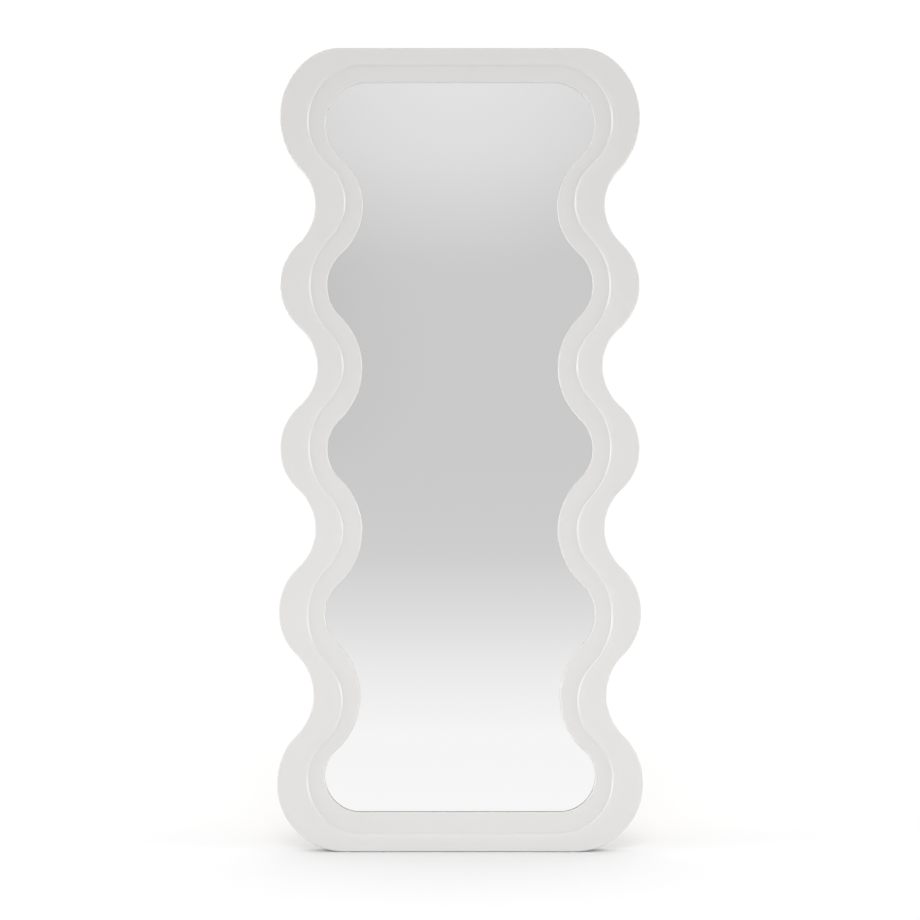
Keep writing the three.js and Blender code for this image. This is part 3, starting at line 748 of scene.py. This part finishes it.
# rubber sleeve: its radius less grooves between the ribs, depth ((1 - cos(2 pi ribs s)) / 2) to
# the power of ribPower, over the share s of the way along its middle
def sleeveSurface(values):
    half, edge = values["length"] / 2, values["edge"]
    s = np.linspace(0, 1, values["ribSteps"] + 1)
    wave = 0.5 - 0.5 * np.cos(2 * math.pi * values["ribs"] * s)
    groove = values["ribDepth"] * wave ** values["ribPower"]
    middle = np.stack([values["radius"] - groove, (2 * s - 1) * (half - 2 * edge)], -1)
    t = np.linspace(0, math.pi / 2, values["edgeSteps"] + 1)
    rim = np.stack([values["radius"] - edge * (1 - np.cos(t)), half - edge * (1 - np.sin(t))], -1)
    profile = np.concatenate([[(values["bore"], -half)], rim[::-1] * (1, -1), middle, rim,
                              [(values["bore"], half)]])
    return lathe(profile, "x", values["around"], loop=True)


# plug in a tube end: a headed stem turned about z
def plugSurface(values):
    foot, neck = tubeEnd - values["stemLength"], tubeEnd + gap
    profile = [(0, foot), (values["stem"], foot), (values["stem"], neck),
               (values["radius"], neck), (values["radius"], stubLength), (0, stubLength)]
    return lathe(roundCorners(profile, values["corners"], closed=False), "z")


# clip for the folded foot bar: its side view is a plate on the cover with two arms round a half
# circle of seat (cos, sin), as a slab of its width
cradle = dict(width=30.0, play=0.5, arm=plates["cradle"], lip=4.0, tab=12.0, screwHeight=47.0,
              edge=0.6, bowSteps=32, corners=(0, 1.1, 1.1, 1.5, 1.1, 1.1, 2.0, 1.1, 1.1, 0))


def cradleSurface(values):
    lip, seat = values["lip"], tube["radius"] + values["play"]
    arm = seat + values["arm"]
    front = -clevis["base"]
    shelf = front + values["arm"]
    tab = values["screwHeight"] - (pivot["height"] - legLength) + values["tab"]
    bow = np.linspace(0, -math.pi, values["bowSteps"] + 1)[1:-1]
    bow = np.stack([seat * np.cos(bow), seat * np.sin(bow)], -1)
    arms = roundCorners([(-seat, 0), (-seat, lip), (-arm, lip), (-arm, front), (tab, front),
                         (tab, shelf), (arm, shelf), (arm, lip), (seat, lip), (seat, 0)],
                        values["corners"], closed=False)
    outline = np.concatenate([bow, arms])
    half = values["width"] / 2
    return slab(outline, -half, half, values["edge"], "zyx")


# strap hanger: a slab narrower at the top, where it is rolled round the ring as a tube about x
hanger = dict(x=276.0, height=1462.0, width=16.0, length=52.0, thickness=plates["hanger"],
              shoulder=2.0, slope=2.0, corners=(6, 6, 1.2, 0.5, 0.5, 0.5, 0.5, 1.2), edge=0.35,
              knuckle=3.6, knuckleLength=12.0, bore=2.2, rim=0.4, around=56)


def hangerSurfaces(values):
    half, neck = values["width"] / 2, values["knuckleLength"] / 2
    bottom, shoulder = -values["length"], -values["shoulder"]
    full, front = shoulder - values["slope"], -values["knuckle"]
    outline = roundCorners([(-half, bottom), (half, bottom), (half, full), (neck, shoulder),
                            (neck, 0.0), (-neck, 0.0), (-neck, shoulder), (-half, full)],
                           values["corners"])
    plate = slab(outline, front, front + values["thickness"], values["edge"], "xzy")
    profile = roundCorners([(values["bore"], -neck), (values["knuckle"], -neck),
                            (values["knuckle"], neck), (values["bore"], neck)],
                           (values["rim"],) * 4)
    return [plate, lathe(profile, "x", values["around"], loop=True)]


# D-shaped ring: a round wire along a straight bar, two tight corners and a half round, each arc a
# quarter turn of its centre plus radius (cos, sin)
ring = dict(half=14.0, arm=7.0, corner=3.0, arcSteps=16, wire=1.8, around=24)


def ringSurface(values):
    half, corner = values["half"], values["corner"]
    quarters = [(half - corner, -corner, corner, 0), (corner - half, -corner, corner, 1),
                (0, -values["arm"], half, 2), (0, -values["arm"], half, 3)]
    share = np.linspace(0, 1, values["arcSteps"] + 1)
    path = []
    for x, z, radius, number in quarters:
        turn = (number + share[number == 3:]) * math.pi / 2
        path.append(np.stack([x + radius * np.cos(turn), z + radius * np.sin(turn), turn], -1))
    x, z, turn = np.concatenate(path).T
    return roundSection(x, z, turn, values["wire"], values["around"], loop=True)


# rubber pad under the bottom edge: a slab with rounded corners
pad = dict(length=80.0, depth=30.0, thickness=2.0, inset=padInset, centre=205.0, corner=4.0,
           edge=0.5)


def padSurface(values, side):
    half, near = values["length"] / 2, values["inset"]
    x, far = side * values["centre"], values["inset"] + values["depth"]
    outline = roundCorners([(x - half, near), (x + half, near), (x + half, far), (x - half, far)],
                           (values["corner"],) * 4)
    return slab(outline, 0, values["thickness"], values["edge"], "xyz")


points, faces = tubeSurface(tube)
makePiece("standTube", [(onStand(points), faces)], "stand", tubeCoat,
          ["stand_tube"])
points, faces = cradleSurface(cradle)
barCentre = (0, pivot["depth"], pivot["height"] - legLength)
makePiece("barClip", [(onMirror(points + barCentre), faces)], "frame", naturalNylon,
          ["stand_cradle"])
for label, side in (("left", -1), ("right", 1)):
    atPin = (side * pivot["half"], pivot["depth"], pivot["height"])
    atLeg = (side * tube["half"], 0, 0)
    points, faces = clevisSurface(clevis)
    makePiece("clevis_" + label, [(onMirror(points + atPin), faces)], "frame",
              zincPlate, ["bracket_" + label])
    points, faces = pinSurface(pin, side)
    makePiece("pin_" + label, [(onMirror(points + atPin), faces)], "frame",
              zincScrews, ["hinge_pin_" + label])
    points, faces = plugSurface(plug)
    makePiece("plug_" + label, [(onStand(points + atLeg), faces)], "stand",
              naturalNylon, ["tube_plug_" + label])
    points, faces = sleeveSurface(sleeve)
    atFoot = (side * sleeve["centre"], 0, -legLength)
    makePiece("sleeve_" + label, [(onStand(points + atFoot), faces)], "stand",
              mattRubber, ["stand_sleeve_" + label])
    knuckle = np.array([side * hanger["x"], seats["cover"] + gap + hanger["knuckle"],
                        hanger["height"]])
    makePiece("strap_" + label, [(onMirror(p + knuckle), f) for p, f in hangerSurfaces(hanger)],
              "frame", zincPlate, ["hanger_" + label])
    points, faces = ringSurface(ring)
    hangs = placed(points, 0, onMirror(knuckle))
    makePiece("dRing_" + label, [(hangs, faces)], "ring_" + label, zincScrews,
              ["hanger_ring_" + label])
    points, faces = padSurface(pad, side)
    flat = placed(points, 0, edgeLine * (1, 1, 0))
    makePiece("pad_" + label, [(flat, faces)], "frame", mattRubber,
              ["base_pad_" + label])
print("stand, hangers and pads ready")

# plain pale floor, its half side in metres
floorValues = dict(half=60.0, color=(0.76, 0.76, 0.76), roughness=0.9)
floorMesh = bpy.data.meshes.new("floor")
half = floorValues["half"]
floorMesh.from_pydata([(-half, -half, 0), (half, -half, 0), (half, half, 0), (-half, half, 0)],
                      [], [(0, 1, 2, 3)])
paleFloor, _, _ = newMaterial("paleFloor", floorValues["color"], floorValues["roughness"],
                              Specular_IOR_Level=0.0)
floorMesh.materials.append(paleFloor)
floor = bpy.data.objects.new("floor", floorMesh)
bpy.context.scene.collection.objects.link(floor)

# soft studio light from all round, by direction: a pale room with a brighter ceiling behind the
# mirror and a duller front, two low soft boxes beside it and one above in front, each (degrees
# round from the camera's side, degrees up, level), and ahead of it a grey screen that is light at
# its foot and its head and falls off to both sides higher up; a span is where a change starts and
# where it is complete, in the direction's x, y or z, and a box's in the cosine off its middle
studio = dict(back=1.04, ceiling=1.6, ceilingSpan=(0.35, 0.5), front=0.65,
              frontSpan=(0.0, -0.15), boxSpan=(0.955, 0.985),
              boxes=((-82.0, 9.0, 8.0), (84.0, 9.0, 7.8), (0.0, 50.0, 3.2)),
              screenAhead=(-0.62, -0.88), screenEnd=(0.37, 0.45), toneSpan=(0.08, 0.36),
              tones=((0.0, 1.0), (0.10, 0.985), (0.15, 0.965), (0.25, 0.835), (0.34, 0.70),
                     (0.40, 0.648), (0.69, 0.635), (0.75, 0.668), (0.84, 0.762), (0.94, 0.818),
                     (1.0, 0.84)),
              fall=33.0, fallMost=0.12, leftFall=(0.19, 0.25), rightFall=(0.27, 0.30),
              fallSeam=0.001)


def studioLight(values):
    world = bpy.data.worlds.new("studioLight")
    world.use_nodes = True
    tree = world.node_tree
    tree.nodes.clear()
    direction = addNode(tree, "ShaderNodeTexCoord").outputs["Generated"]
    split = addNode(tree, "ShaderNodeSeparateXYZ", [("Vector", direction)])
    x, y, z = (split.outputs[axis] for axis in "XYZ")

    def calc(operation, *terms):
        node = addNode(tree, "ShaderNodeMath", operation=operation)
        for slotNumber, term in enumerate(terms):
            if isinstance(term, (int, float)):
                node.inputs[slotNumber].default_value = term
            else:
                tree.links.new(term, node.inputs[slotNumber])
        return node.outputs[0]

    # from first to last as the source goes from low to high
    def spread(source, low, high, first=0, last=1, soft=True):
        node = addNode(tree, "ShaderNodeMapRange", [("Value", source)],
                       interpolation_type="SMOOTHSTEP" if soft else "LINEAR", From_Min=low,
                       From_Max=high, To_Min=first, To_Max=last)
        return node.outputs["Result"]

    # under + share (level - under)
    def over(level, share, under):
        return calc("MULTIPLY_ADD", share, calc("SUBTRACT", level, under), under)

    room = over(values["ceiling"], spread(z, *values["ceilingSpan"]), values["back"])
    room = over(values["front"], spread(y, *values["frontSpan"]), room)
    for sideways, upwards, level in values["boxes"]:
        turn, rise = math.radians(sideways), math.radians(upwards)
        facing = addNode(tree, "ShaderNodeVectorMath", [("Vector", direction)],
                         operation="DOT_PRODUCT")
        facing.inputs[1].default_value = (math.sin(turn) * math.cos(rise),
                                          -math.cos(turn) * math.cos(rise), math.sin(rise))
        room = over(level, spread(facing.outputs["Value"], *values["boxSpan"]), room)

    ramp = addNode(tree, "ShaderNodeValToRGB",
                   [("Fac", spread(z, *values["toneSpan"], soft=False))])
    ramp.color_ramp.interpolation = "CARDINAL"
    stops, tones = ramp.color_ramp.elements, values["tones"]
    for position, level in tones[1:-1]:
        stops.new(position).color = (level, level, level, 1)
    for stop, (position, level) in zip((stops[0], stops[-1]), (tones[0], tones[-1])):
        stop.position, stop.color = position, (level, level, level, 1)

    # the screen falls off by fall x^2, up to fallMost, on each side from its own height up
    falls = []
    for side, span in ((-1, values["leftFall"]), (1, values["rightFall"])):
        onSide = spread(x, -side * values["fallSeam"], side * values["fallSeam"])
        falls.append(calc("MULTIPLY", onSide, spread(z, *span)))
    fall = calc("MINIMUM", calc("MULTIPLY", calc("MULTIPLY", x, x), values["fall"]),
                values["fallMost"])
    edges = calc("MULTIPLY", fall, calc("ADD", *falls))
    screen = calc("MULTIPLY", ramp.outputs["Color"], calc("SUBTRACT", 1.0, edges))
    onScreen = calc("MULTIPLY", spread(y, *values["screenAhead"]),
                    spread(z, *values["screenEnd"], 1, 0))
    level = over(screen, onScreen, room)
    shine = addNode(tree, "ShaderNodeBackground", [("Strength", level)])
    shine.inputs["Color"].default_value = (1, 1, 1, 1)
    output = addNode(tree, "ShaderNodeOutputWorld")
    tree.links.new(shine.outputs["Background"], output.inputs["Surface"])
    bpy.context.scene.world = world


studioLight(studio)

# low soft light in front of the mirror's foot, facing it, that neither glass nor camera sees
footLight = dict(width=1.6, height=0.14, power=6.0, place=(0.0, -1.75, 0.1))
lampData = bpy.data.lights.new("footLight", "AREA")
lampData.shape = "RECTANGLE"
lampData.size, lampData.size_y = footLight["width"], footLight["height"]
lampData.energy = footLight["power"]
lamp = bpy.data.objects.new("footLight", lampData)
lamp.location = footLight["place"]
lamp.rotation_euler = (math.radians(90.0), 0.0, 0.0)
lamp.visible_camera = lamp.visible_glossy = False
bpy.context.scene.collection.objects.link(lamp)
bpy.context.scene.view_settings.view_transform = "Standard"

# camera where the photograph was taken: 6.3 m in front, 1.25 m up and tilted down a little
photo = dict(lens=109.05, sensor=36.0, clipEnd=300.0, location=(0.0, -6.2737, 1.2497), pitch=3.593)
cameraData = bpy.data.cameras.new("photoCamera")
cameraData.lens = photo["lens"]
cameraData.sensor_width = photo["sensor"]
cameraData.clip_end = photo["clipEnd"]
camera = bpy.data.objects.new("photoCamera", cameraData)
camera.location = photo["location"]
camera.rotation_euler = (math.radians(90.0 - photo["pitch"]), 0.0, 0.0)
bpy.context.scene.collection.objects.link(camera)
bpy.context.scene.camera = camera
print("floor, light and camera ready")
